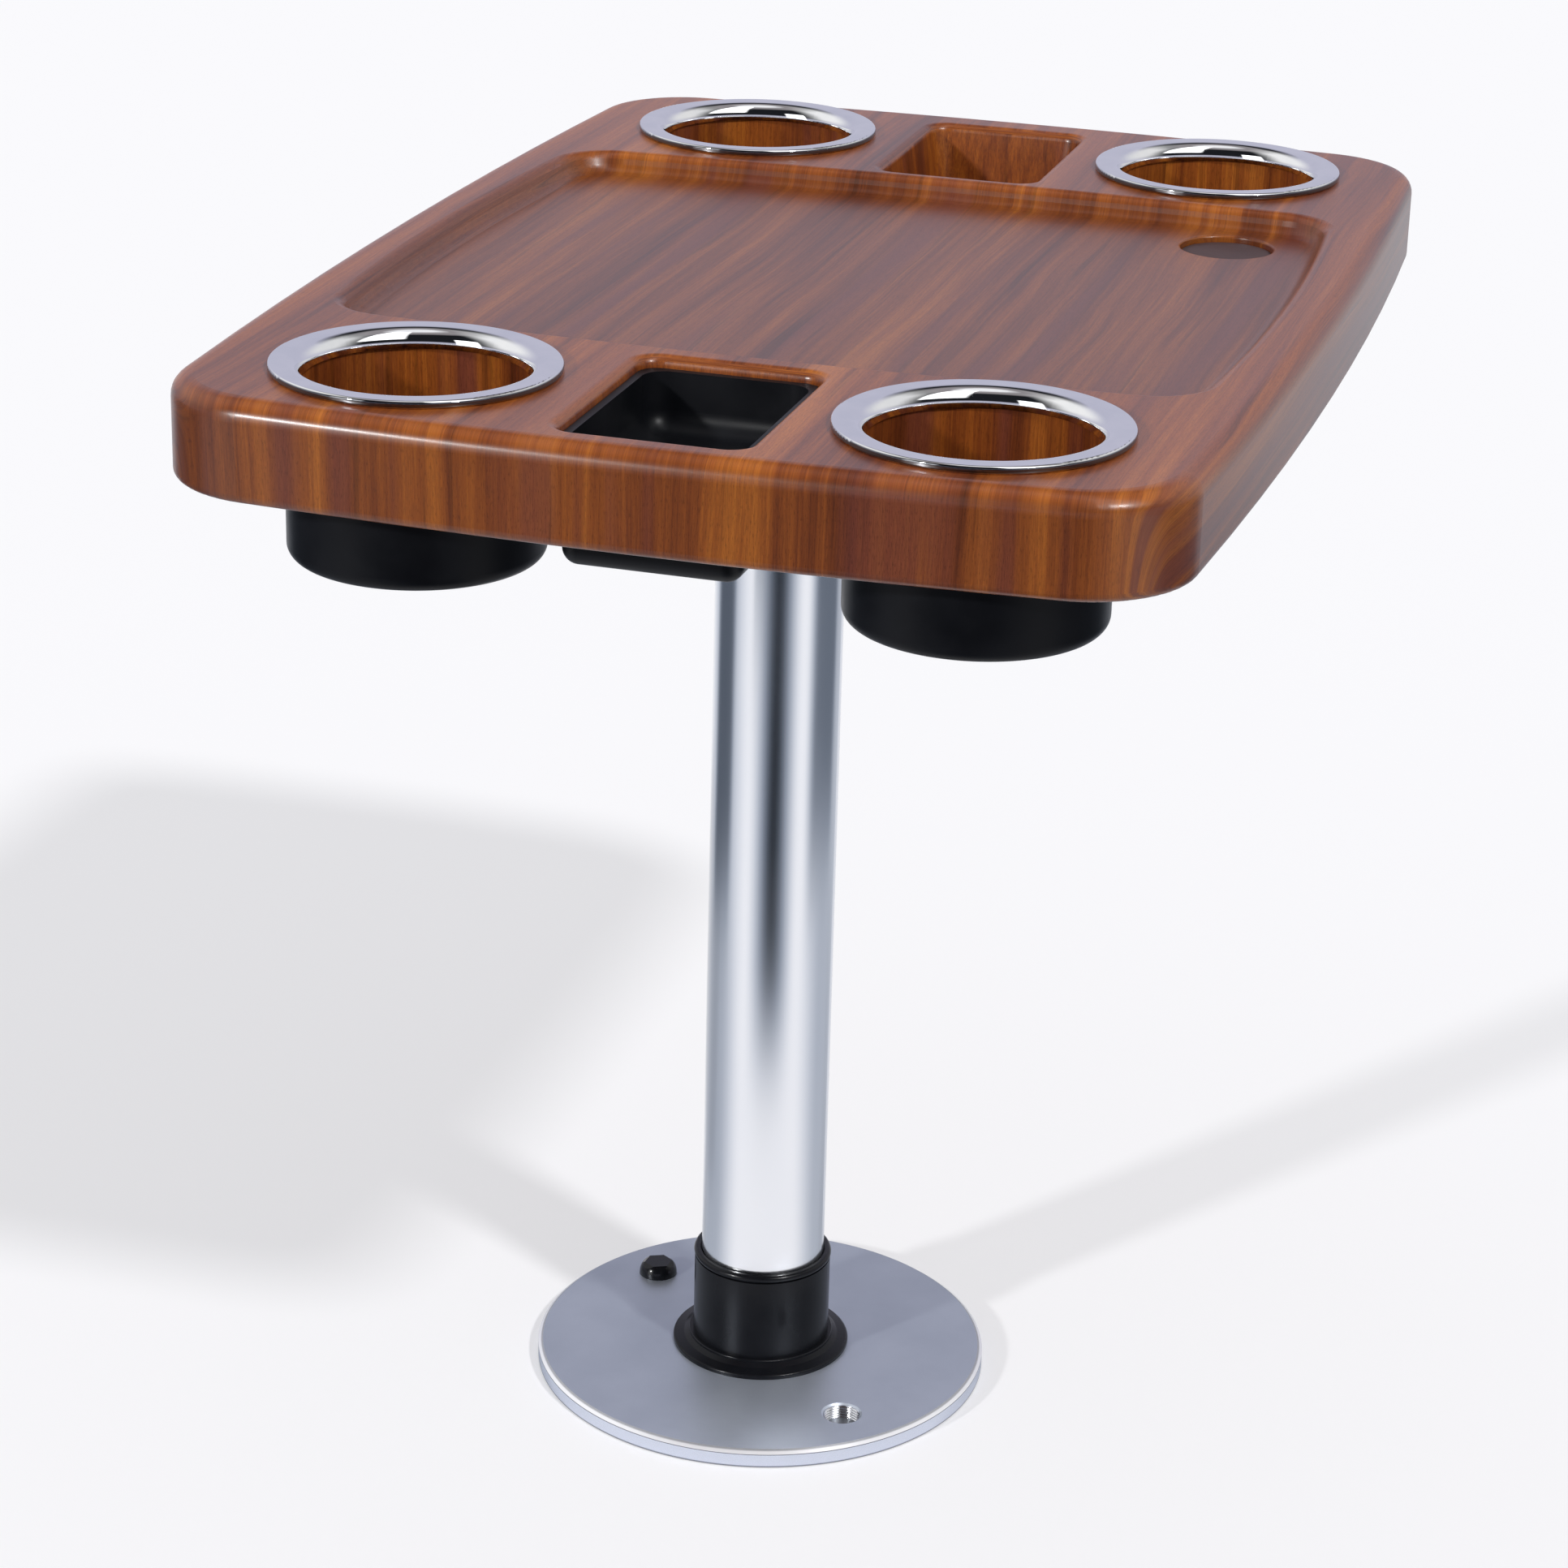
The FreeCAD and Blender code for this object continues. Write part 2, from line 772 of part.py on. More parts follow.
def make_base_plate():
    outer = plate_diameter / 2
    bevel = outer - plate_bevel_width
    bore = post_radius + plate_bore_gap
    plate = revolve(
        (bore, 0),
        (outer - plate_floor_chamfer, 0),
        (outer, plate_floor_chamfer),
        (outer, plate_thickness - plate_bevel_height),
        (bevel, plate_thickness),
        (bore, plate_thickness),
    )
    plate = plate.cut(disc(cover_diameter / 2 + seat_gap, -overrun, cover_thickness))
    plate = plate.cut(turned(brake_channel(), button_angle))
    button_hole = disc(button_diameter / 2 + seat_gap, 0, plate_thickness + overrun, station_radius, 0)
    plate = plate.cut(turned(button_hole, button_angle))
    x, y = thread_place()
    plate = plate.cut(disc(thread_diameter / 2, -overrun, plate_thickness + overrun, x, y))
    mouth = Part.makeCone(
        thread_diameter / 2, thread_diameter / 2 + thread_chamfer, thread_chamfer,
        FreeCAD.Vector(x, y, plate_thickness - thread_chamfer),
    )
    plate = plate.cut(mouth)
    for hole in around(cover_screw(screw_gap), cover_screw_count, cover_screw_start()):
        plate = plate.cut(hole)
    for hole in around(collar_screw(screw_gap), collar_screw_count, collar_screw_start()):
        plate = plate.cut(hole)
    return plate


def make_base_cover():
    """A thin disc let into the plate's underside, which closes the threaded hole from below."""
    cover = disc(cover_diameter / 2, 0, cover_thickness)
    for hole in around(cover_screw(screw_gap), cover_screw_count, cover_screw_start()):
        cover = cover.cut(hole)
    return cover


# Socket

def make_socket_collar():
    """The fixed black collar: a stepped flange and a thin upright sleeve."""
    base = plate_thickness
    flange = collar_flange_diameter / 2
    flange_top = base + collar_flange_edge + collar_flange_round
    edge_mid = rounding(flange, flange_top, collar_flange_round, -1, -1)
    step = collar_step_diameter / 2
    slope = collar_slope_diameter / 2
    bead_top = base + collar_bead_rise
    bead_mid = rounding(slope, bead_top, collar_bead_round, -1, -1)
    collar = revolve(
        (collar_bore, base),
        (flange, base),
        (flange, base + collar_flange_edge),
        (flange - collar_flange_round, flange_top) + edge_mid,
        (step, base + collar_step_rise),
        (slope, base + collar_slope_rise),
        (slope, bead_top - collar_bead_round),
        (slope - collar_bead_round, bead_top) + bead_mid,
        (collar_radius, bead_top),
        (collar_radius, collar_top),
        (collar_bore, collar_top),
    )
    for hole in around(collar_screw(screw_gap), collar_screw_count, collar_screw_start()):
        collar = collar.cut(hole)
    return collar


def make_swivel_bushing():
    """A thin sleeve that turns in the collar and ends in a round bead over its rim."""
    sleeve = collar_bore - turning_gap
    low = plate_thickness + seat_gap
    shelf = collar_top + seat_gap
    top = shelf + bushing_head_height
    outer = collar_radius + bushing_head_overhang
    half = bushing_head_height / 2
    lip = sleeve_radius + bushing_lip
    lower_mid = rounding(outer, shelf, half, -1, 1)
    upper_mid = rounding(outer, top, half, -1, -1)
    return revolve(
        (sleeve_radius, low),
        (sleeve, low),
        (sleeve, shelf),
        (outer - half, shelf),
        (outer, shelf + half) + lower_mid,
        (outer - half, top) + upper_mid,
        (lip, top),
        (sleeve_radius, top - bushing_lip),
    )


# Release button and brake

def button_crown():
    """A six-sided taper that gives the button's top its straight edges."""
    top = plate_thickness + button_height
    low = plate_thickness
    flat_to_corner = 1 / math.cos(math.radians(half_turn / hexagon_sides))
    wires = []
    for z in (low, top):
        reach = (button_crown_flats / 2 + (top - z) * button_crown_slope) * flat_to_corner
        corners = []
        for k in range(hexagon_sides + 1):
            angle = math.radians(k * full_turn / hexagon_sides)
            corners.append(FreeCAD.Vector(reach * math.cos(angle), reach * math.sin(angle), z))
        wires.append(Part.makePolygon(corners))
    return moved(Part.makeLoft(wires, True, True), station_radius, 0)


def make_release_button():
    """A domed button with a six-sided crown, kept in by the cone under the plate's skin."""
    radius = button_diameter / 2
    cone_top = skin_bottom - seat_gap
    cone_low = cone_top - button_cone_height
    straight_top = plate_thickness + button_straight
    top = plate_thickness + button_height
    shoulder_r = radius - button_shoulder_out
    shoulder_z = straight_top + (top - straight_top) * button_shoulder_share
    crown = button_crown_diameter / 2
    dome = revolve(
        (0, cone_low),
        (radius, cone_low),
        (radius + button_cone_growth, cone_top),
        (radius, cone_top),
        (radius, straight_top),
        (crown, top, shoulder_r, shoulder_z),
        (0, top),
    )
    dome = moved(dome, station_radius, 0)
    below = disc(radius + 2 * button_cone_growth, 0, plate_thickness, station_radius, 0)
    crowned = dome.common(below.fuse(button_crown()))
    return turned(crowned, button_angle)


def slot_inner_end():
    return post_radius + pad_length + slot_start


def boss_start():
    return slot_inner_end() + slot_length


def slot_outer_end():
    return boss_start() + boss_length + sliding_gap


def pad_start():
    return post_radius + seat_gap


def pad_end():
    return post_radius + pad_length


def pad_tenon(grow=0):
    """The tongue that keys the pad into the slider."""
    width = pad_tenon_width + 2 * grow
    return Part.makeBox(
        pad_tenon_length + grow, width, slider_high - slider_low,
        FreeCAD.Vector(pad_end(), -width / 2, slider_low),
    )


def make_brake_pad():
    """A block with a hollow face that bears on the post."""
    width = slider_width
    block = Part.makeBox(
        pad_end(), width, slider_high - slider_low, FreeCAD.Vector(0, -width / 2, slider_low)
    )
    block = block.cut(disc(pad_start(), 0, plate_thickness))
    return turned(block.fuse(pad_tenon()).removeSplitter(), button_angle)


def slider_ramp_window():
    """The window round the button, its outer side cut as a ramp."""
    half = slider_window_width / 2
    inner = frame_inner()
    low = slider_low - overrun
    high = slider_high + overrun
    corners = [(inner, low), (ramp_place(low), low), (ramp_place(high), high), (inner, high)]
    points = [FreeCAD.Vector(r, -half, z) for r, z in corners]
    face = Part.Face(Part.makePolygon(points + points[:1]))
    return face.extrude(FreeCAD.Vector(0, 2 * half, 0))


def make_brake_slider():
    """A flat bar with a slot for its spring, and a frame with a ramp round the button."""
    height = slider_high - slider_low
    half = slider_width / 2
    frame_half = slider_frame_width / 2
    frame_start = frame_inner() - slider_frame_wall
    bar = Part.makeBox(
        frame_start - pad_end() - screw_gap + slider_frame_wall / 2, slider_width, height,
        FreeCAD.Vector(pad_end() + screw_gap, -half, slider_low),
    )
    frame = Part.makeBox(
        frame_outer() - frame_start, slider_frame_width, height,
        FreeCAD.Vector(frame_start, -frame_half, slider_low),
    )
    slot = Part.makeBox(
        slot_outer_end() - slot_inner_end(), slot_width, height + 2 * overrun,
        FreeCAD.Vector(slot_inner_end(), -slot_width / 2, slider_low - overrun),
    )
    slider = bar.fuse(frame).cut(slider_ramp_window()).cut(slot).cut(pad_tenon(screw_gap))
    return turned(slider.removeSplitter(), button_angle)


def make_brake_spring():
    """A coil between the slot's inner end and the plate's boss."""
    coil_radius = (spring_diameter - spring_wire) / 2
    start = slot_inner_end() + screw_gap + spring_wire / 2
    length = boss_start() - screw_gap - spring_wire / 2 - start
    helix = Part.makeHelix(length / spring_turns, length, coil_radius)
    tangent = FreeCAD.Vector(0, 2 * math.pi * coil_radius, length / spring_turns)
    section = Part.Wire(Part.makeCircle(spring_wire / 2, FreeCAD.Vector(coil_radius, 0, 0), tangent))
    coil = Part.Wire(helix).makePipeShell([section], True, True)
    coil.rotate(FreeCAD.Vector(0, 0, 0), FreeCAD.Vector(0, 1, 0), half_turn / 2)
    coil = moved(coil, start, 0, (slider_low + slider_high) / 2)
    return turned(coil, button_angle)


# Every piece by its node's name

def group(shape, count, start):
    return Part.makeCompound(around(shape, count, start))


def build():
    pieces = {
        "base_plate": make_base_plate(),
        "base_cover": make_base_cover(),
        "cover_screws": group(cover_screw(), cover_screw_count, cover_screw_start()),
        "socket_collar": make_socket_collar(),
        "collar_screws": group(collar_screw(), collar_screw_count, collar_screw_start()),
        "swivel_bushing": make_swivel_bushing(),
        "release_button": make_release_button(),
        "brake_slider": make_brake_slider(),
        "brake_pad": make_brake_pad(),
        "brake_spring": make_brake_spring(),
        "post_tube": make_post_tube(),
        "post_foot": make_post_foot(),
        "top_receiver": make_top_receiver(),
        "receiver_screws": group(receiver_screw(), receiver_screw_count, receiver_screw_start()),
        "receiver_set_screws": group(set_screw(), set_screw_count, receiver_screw_start()),
        "top_board": make_top_board(),
        "hole_plug": make_hole_plug(),
        "tray_insert": make_tray_insert(),
    }
    for place, (x, y) in cup_places().items():
        pieces["cup_ring_" + place] = moved(make_cup_ring(), x, y)
        pieces["cup_" + place] = moved(make_cup(), x, y)
    return pieces


def main():
    os.makedirs("parts", exist_ok=True)
    for name, shape in build().items():
        shape.exportStep("parts/" + name + ".step")
        print(name, len(shape.Solids), round(shape.Volume), shape.isValid())


main()
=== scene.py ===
import json
import math

import bmesh
import bpy
from mathutils import Matrix, Vector


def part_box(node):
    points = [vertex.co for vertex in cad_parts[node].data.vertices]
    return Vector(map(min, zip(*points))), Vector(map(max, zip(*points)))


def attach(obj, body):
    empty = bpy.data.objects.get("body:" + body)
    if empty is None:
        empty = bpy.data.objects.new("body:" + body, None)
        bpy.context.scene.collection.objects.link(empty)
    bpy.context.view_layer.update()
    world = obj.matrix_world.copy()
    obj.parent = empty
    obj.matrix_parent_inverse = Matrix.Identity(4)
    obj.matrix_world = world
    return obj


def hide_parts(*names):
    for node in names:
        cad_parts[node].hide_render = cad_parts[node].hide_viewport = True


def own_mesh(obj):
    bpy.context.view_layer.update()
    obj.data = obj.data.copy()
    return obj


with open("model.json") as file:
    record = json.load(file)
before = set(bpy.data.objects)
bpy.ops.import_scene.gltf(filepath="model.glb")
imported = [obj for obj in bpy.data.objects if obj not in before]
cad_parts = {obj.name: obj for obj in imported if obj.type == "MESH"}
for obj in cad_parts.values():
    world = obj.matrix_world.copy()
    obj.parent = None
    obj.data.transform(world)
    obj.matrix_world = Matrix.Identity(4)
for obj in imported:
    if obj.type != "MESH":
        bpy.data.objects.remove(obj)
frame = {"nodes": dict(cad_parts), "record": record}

bpy.context.view_layer.update()

# Boat table. Metres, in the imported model's own frame: the post's axis is the Z axis, the floor is
# z = 0. Patterns in materials are measured in millimetres, and angles are in degrees.
MM = 0.001

# Places read from the frame
board_low, board_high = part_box("top_board")
board_middle = (board_low + board_high) / 2
board_top = board_high.z
ring_low, ring_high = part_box("cup_ring_far_right")
ring_radius = (ring_high.x - ring_low.x) / 2
ring_from_middle = (ring_low.x + ring_high.x) / 2 - board_middle.x
ring_from_centre = (ring_low.y + ring_high.y) / 2
plate_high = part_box("base_plate")[1]
plate_top = plate_high.z
plate_radius = plate_high.x
cover_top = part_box("base_cover")[1].z
thread_mount = next(m for m in frame["record"]["mounts"] if m["name"] == "deck_thread")
thread_x, thread_y = thread_mount["pos_m"][:2]
thread_radius = thread_mount["dims"]["r_mm"] * MM

# The photograph's camera, fitted to the rings, the post and the base plate
camera_place = Vector((0.50335, -1.72558, 1.01818))
camera_yaw = 16.122
camera_pitch = 21.615
camera_roll = 1.535
focal_pixels = 5037.67
frame_pixels = 1932.0
sensor_width = 36.0
camera_reach = 100.0

# Lamps: which way they stand from the post, how high, how wide they look and how strong they are
right_lamp = {"azimuth": -33.0, "elevation": 44.0, "width": 5.0, "strength": 1.45}
left_lamp = {"azimuth": -122.5, "elevation": 23.0, "width": 4.0, "strength": 1.6}
lamp_gloss = 0.3
ambient = (0.49, 0.495, 0.515)
background = (0.96, 0.96, 0.965)

# Soft boxes that polished pieces mirror: two bright ones, and two pale and wide ones. Spread is
# half the width, core the share of it that is fully bright, fade the soft edge above and below.
mirrored_boxes = [
    {"azimuth": -124.0, "spread": 15.0, "core": 0.75, "low": -3.0, "high": 33.0, "fade": 4.0,
     "glow": 2.6},
    {"azimuth": -30.0, "spread": 30.0, "core": 0.75, "low": 28.0, "high": 82.0, "fade": 5.0,
     "glow": 2.2},
    {"azimuth": 176.0, "spread": 52.0, "core": 0.20, "low": 0.0, "high": 74.0, "fade": 24.0,
     "glow": 0.95},
    {"azimuth": 36.0, "spread": 50.0, "core": 0.20, "low": 0.0, "high": 70.0, "fade": 24.0,
     "glow": 0.80},
]

# The room that they mirror, by the share of the way up from level to straight overhead: a pale
# horizon, which stands higher behind the table, a dark ceiling, and light again overhead
horizon_glow = (0.52, 0.520, 0.640)
ceiling_glow = (0.012, 0.013, 0.016)
overhead_glow = (0.30, 0.28, 0.29)
overhead_middle = (0.95, 0.95, 0.97)
overhead = [
    (0.64, ceiling_glow), (0.74, overhead_glow), (0.82, overhead_glow), (0.90, overhead_middle),
]
room_behind = [(0.0, horizon_glow), (0.42, horizon_glow), (0.56, ceiling_glow), *overhead]
room_around = [(0.0, horizon_glow), (0.10, horizon_glow), (0.16, ceiling_glow), *overhead]
behind_table = 106.0
behind_core = 62.0
behind_spread = 100.0

# The floor: how bright it is seen, and the dark cards on it that mirrors see. Start is a card's
# nearest edge, in millimetres from the post, and depth is how dark it is.
floor_half = 12.0
floor_drop = 0.0002
floor_lift = 0.36
floor_white = 0.60
floor_tint = (0.99, 0.985, 1.0)
card_colour = (0.62, 0.76, 1.0)
card_fade = 1.8
dark_cards = [
    {"azimuth": -74.0, "spread": 47.0, "core": 0.04, "start": 310.0, "depth": 0.97},
    {"azimuth": -90.0, "spread": 31.0, "core": 0.85, "start": 950.0, "depth": 0.97},
    {"azimuth": -180.0, "spread": 36.0, "core": 0.45, "start": 400.0, "depth": 0.86},
    {"azimuth": 22.0, "spread": 44.0, "core": 0.45, "start": 460.0, "depth": 0.80},
    {"azimuth": -180.0, "spread": 62.0, "core": 0.15, "start": 20.0, "depth": 0.46},
    {"azimuth": 40.0, "spread": 66.0, "core": 0.15, "start": 20.0, "depth": 0.42},
]


class Graph:
    """A node tree written as expressions. A value is a number, a colour or a node's output."""

    def __init__(self, tree):
        self.tree = tree

    def put(self, socket, value):
        if isinstance(value, bpy.types.NodeSocket):
            self.tree.links.new(value, socket)
        elif isinstance(value, tuple) and len(value) == 3 and socket.type == "RGBA":
            socket.default_value = (*value, 1.0)
        else:
            socket.default_value = value

    def node(self, kind, inputs=(), **settings):
        node = self.tree.nodes.new(kind)
        for name, value in settings.items():
            setattr(node, name, value)
        for name, value in dict(inputs).items():
            self.put(node.inputs[name], value)
        return node

    def math(self, operation, *values):
        node = self.node("ShaderNodeMath", operation=operation)
        for socket, value in zip(node.inputs, values):
            self.put(socket, value)
        return node.outputs[0]

    def add(self, a, b):
        return self.math("ADD", a, b)

    def times(self, a, b):
        return self.math("MULTIPLY", a, b)

    def minus(self, a, b):
        return self.math("SUBTRACT", a, b)

    def most(self, a, b):
        return self.math("MAXIMUM", a, b)

    def absolute(self, value):
        return self.math("ABSOLUTE", value)

    def less(self, a, b):
        return self.math("LESS_THAN", a, b)

    def length(self, a, b):
        return self.math("SQRT", self.add(self.times(a, a), self.times(b, b)))

    def step(self, value, low, high, to_low=0.0, to_high=1.0):
        """A smooth change from to_low to to_high while the value goes from low to high."""
        numbers = {"From Min": low, "From Max": high, "To Min": to_low, "To Max": to_high}
        node = self.node("ShaderNodeMapRange", numbers, interpolation_type="SMOOTHSTEP")
        self.put(node.inputs["Value"], value)
        return node.outputs["Result"]

    def fall(self, value, low, high):
        """A smooth change from one to nothing while the value goes from low to high."""
        return self.step(value, low, high, 1.0, 0.0)

    def blend(self, share, a, b):
        """From number a to number b."""
        return self.add(a, self.times(share, self.minus(b, a)))

    def turned(self, angle, azimuth):
        """How far the angle is from the azimuth, the shorter way round."""
        away = self.absolute(self.minus(angle, azimuth))
        return self.math("MINIMUM", away, self.minus(360.0, away))

    def azimuth(self, x, y):
        return self.times(self.math("ARCTAN2", y, x), 180 / math.pi)

    def vector(self, x, y, z=0.0):
        return self.node("ShaderNodeCombineXYZ", {"X": x, "Y": y, "Z": z}).outputs[0]

    def parts(self, vector):
        return self.node("ShaderNodeSeparateXYZ", {"Vector": vector}).outputs[:]

    def place(self):
        """The point on the object, in millimetres."""
        coordinates = self.node("ShaderNodeTexCoord")
        return [self.times(part, 1 / MM) for part in self.parts(coordinates.outputs["Object"])]

    def facing(self):
        """How far the surface faces along X, Y and Z, either way."""
        coordinates = self.node("ShaderNodeTexCoord")
        return [self.absolute(part) for part in self.parts(coordinates.outputs["Normal"])]

    def noise(self, vector, detail=2.0, roughness=0.5):
        inputs = {"Vector": vector, "Scale": 1.0, "Detail": detail, "Roughness": roughness}
        return self.node("ShaderNodeTexNoise", inputs).outputs["Fac"]

    def spots(self, size, detail=2.0, stretch=(1.0, 1.0, 1.0)):
        """Noise whose lumps measure about size millimetres, times the stretch along each axis."""
        lumps = [self.times(part, 1 / (size * by)) for part, by in zip(self.place(), stretch)]
        return self.noise(self.vector(*lumps), detail)

    def colour(self, share, a, b, blend_type="MIX"):
        node = self.node("ShaderNodeMix", data_type="RGBA", blend_type=blend_type)
        self.put(node.inputs["Factor"], share)
        self.put(node.inputs[6], a)
        self.put(node.inputs[7], b)
        return node.outputs[2]

    def ramp(self, value, stops):
        node = self.node("ShaderNodeValToRGB", {"Fac": value})
        elements = node.color_ramp.elements
        while len(elements) < len(stops):
            elements.new(0.5)
        for element, (position, colour) in zip(elements, stops):
            element.position = position
            element.color = (*colour, 1.0)
        return node.outputs["Color"]

    def grey(self, value):
        inputs = {"Red": value, "Green": value, "Blue": value}
        return self.node("ShaderNodeCombineColor", inputs).outputs[0]

    def darken(self, colour, share):
        """The colour times a grey share."""
        return self.colour(1.0, colour, self.grey(share), "MULTIPLY")

    def bump(self, height, depth):
        """A bump as deep as depth, in millimetres, where the height goes from 0 to 1."""
        inputs = {"Height": height, "Strength": 1.0, "Distance": depth * MM}
        return self.node("ShaderNodeBump", inputs).outputs["Normal"]


def new_material(name, **inputs):
    """A material with one Principled shader, and its graph."""
    material = bpy.data.materials.new(name)
    material.use_nodes = True
    graph = Graph(material.node_tree)
    set_shader(graph, **inputs)
    return material, graph


def set_shader(graph, **inputs):
    """Sets inputs of the Principled shader, by their names with _ for a space."""
    shader = graph.tree.nodes["Principled BSDF"]
    for name, value in inputs.items():
        graph.put(shader.inputs[name.replace("_", " ")], value)


# Wood

wood_dark = (0.070, 0.0150, 0.0050)
wood_brown = (0.138, 0.0320, 0.0065)
wood_red = (0.212, 0.0545, 0.0085)
wood_amber = (0.315, 0.0940, 0.0120)
wood_purple = (0.134, 0.0330, 0.0190)
wood_stops = [(0.385, wood_dark), (0.46, wood_brown), (0.53, wood_red), (0.61, wood_amber)]

# Holes in the top, in millimetres: what lies nearer to a drink holder's axis than this is its
# wall, and the end pockets take these halves about their centres
holder_reach = 49.0
pocket_half_width = 39.6
pocket_half_length = 58.5
pocket_from_centre = 235.3

# How far below the top the tone of the sunken middle begins and is complete, in millimetres
sunken_begins = 3.0
sunken_complete = 7.0

# Painted light: how much lighter the faces are painted than the ends and sides, for how light falls
# on them: walls of holes, the top, the sunken middle
hole_painted_light = 1.3
top_painted_light = 1.45
sunken_painted_light = 1.08

# How far the grain wanders sideways, and over what width and run, in millimetres
wander = 14.0
wander_width = 70
wander_run = 240

# Layers of the grain: width and run of a mark in millimetres, detail and roughness of the noise
broad_layer = (46.0, 1200.0, 2.0, 0.5)
bands_layer = (13.0, 480.0, 2.0, 0.5)
streaks_layer = (3.6, 180.0, 3.0, 0.6)
lines_layer = (0.9, 60.0, 2.0, 0.5)
fibres_layer = (0.40, 7.0, 1.0, 0.5)
pores_layer = (0.38, 2.6, 1.0, 0.5)
veins_layer = (5.5, 260.0, 3.0, 0.6)
purple_layer = (24.0, 600.0, 2.0, 0.5)


def from_holder(g):
    """Millimetres from the axis of the nearest drink holder, and from the middle in X and Y."""
    x, y, z = g.place()
    from_middle = g.absolute(g.minus(x, board_middle.x / MM))
    from_centre = g.absolute(y)
    to_axis_x = g.minus(from_middle, ring_from_middle / MM)
    to_axis_y = g.minus(from_centre, ring_from_centre / MM)
    return g.length(to_axis_x, to_axis_y), from_middle, from_centre


def grain_place(g):
    """Across the grain (two ways) and along it, in millimetres, and whether this is a hole's wall.

    The grain runs along Y on the top, turns down over both ends, and runs level along the sides.
    On the walls of the pockets and drink holders it stands upright."""
    x, y, z = g.place()
    face_x, face_y, face_z = g.facing()
    drop = g.minus(board_top / MM, z)
    side = g.step(face_x, 0.5, 0.85)
    radius, from_middle, from_centre = from_holder(g)
    in_width = g.less(from_middle, pocket_half_width)
    in_length = g.less(g.absolute(g.minus(from_centre, pocket_from_centre)), pocket_half_length)
    in_reach = g.most(g.less(radius, holder_reach), g.times(in_width, in_length))
    in_hole = g.times(in_reach, g.fall(face_z, 0.5, 0.85))
    level = g.minus(1.0, in_hole)
    across = g.add(x, g.times(g.times(side, level), drop))
    second = g.times(in_hole, y)
    turned_down = g.times(g.blend(in_hole, g.minus(1.0, side), 1.0), drop)
    return across, second, g.add(g.times(level, y), turned_down), in_hole


def wood():
    """Reddish-brown laminate under clear gloss: broad tones, streaks, fine lines and pores.

    Painted light: the faces that look up are painted lighter than the ends, the sunken middle only
    a little, and the walls of the holes are painted lighter too."""
    material, g = new_material("wood", Specular_IOR_Level=0.20)
    across, second, along, in_hole = grain_place(g)

    def stretched(width, run):
        return g.vector(
            g.times(across, 1 / width), g.times(second, 1 / width), g.times(along, 1 / run)
        )

    sideways = g.minus(g.noise(stretched(wander_width, wander_run)), 0.5)
    across = g.add(across, g.times(sideways, wander))

    def grain(width, run, detail, roughness):
        return g.noise(stretched(width, run), detail, roughness)

    # Tone, with painted light on the faces that look up and on the walls of holes
    facing_up = g.step(g.facing()[2], 0.3, 0.8)
    height = g.place()[2]
    sunken = g.fall(height, board_top / MM - sunken_complete, board_top / MM - sunken_begins)
    painted_light = g.blend(
        facing_up, g.blend(in_hole, 1.0, hole_painted_light), g.blend(sunken, top_painted_light, sunken_painted_light)
    )
    large = g.add(g.times(grain(*broad_layer), 0.34), g.times(grain(*bands_layer), 0.34))
    small = g.add(g.times(grain(*streaks_layer), 0.20), g.times(grain(*lines_layer), 0.12))
    colour = g.ramp(g.add(large, small), wood_stops)
    purple = g.step(grain(*purple_layer), 0.52, 0.66)
    colour = g.colour(g.times(purple, g.blend(sunken, 0.4, 0.75)), colour, wood_purple)

    # Fine marks, each with how much light it leaves
    fibres = grain(*fibres_layer)
    pores = g.step(grain(*pores_layer), 0.56, 0.68)
    veins = g.step(grain(*veins_layer), 0.575, 0.70)
    for mark, leaves in ((g.step(fibres, 0.30, 0.70), 0.80), (pores, 0.75), (veins, 0.66)):
        colour = g.darken(colour, g.blend(mark, 1.0, leaves))
    # Painted light: the colour is multiplied by the painted light of each face
    colour = g.darken(colour, painted_light)

    # Relief of the wood, and of the gloss over it
    relief = g.add(g.times(fibres, 0.5), g.times(pores, -0.5))
    ripple = g.spots(1.1)
    gloss_relief = g.add(g.times(relief, 0.4), g.times(ripple, 0.6))
    set_shader(
        g, Base_Color=colour, Roughness=0.34, Normal=g.bump(relief, 0.012),
        Coat_Weight=0.48, Coat_Roughness=g.step(fibres, 0.2, 0.8, 0.19, 0.26), Coat_IOR=1.5,
        Coat_Normal=g.bump(gloss_relief, 0.0035),
    )
    return material


# Metals

chrome_stops = [(0.35, (0.84, 0.85, 0.87)), (0.65, (0.90, 0.90, 0.91))]
# Painted shade and dark reflection for the ring's outer edge
chrome_painted_dark = (0.04, 0.04, 0.05)
post_stops = [(0.3, (0.88, 0.90, 0.94)), (0.7, (0.92, 0.935, 0.965))]
blasted_stops = [(0.3, (0.50, 0.545, 0.63)), (0.7, (0.56, 0.605, 0.69))]
# The bevel's polished metal tone; its white diffuse share is partly a painted highlight
bevel_tone_and_highlight = (0.90, 0.90, 0.93)
side_colour = (0.66, 0.70, 0.81)
# Painted dark reflection lines and painted shade on the plate's rim
plate_painted_dark = (0.10, 0.11, 0.14)

# How far the plate's bevel reaches down its side, in metres
bevel_depth = 1.8 * MM


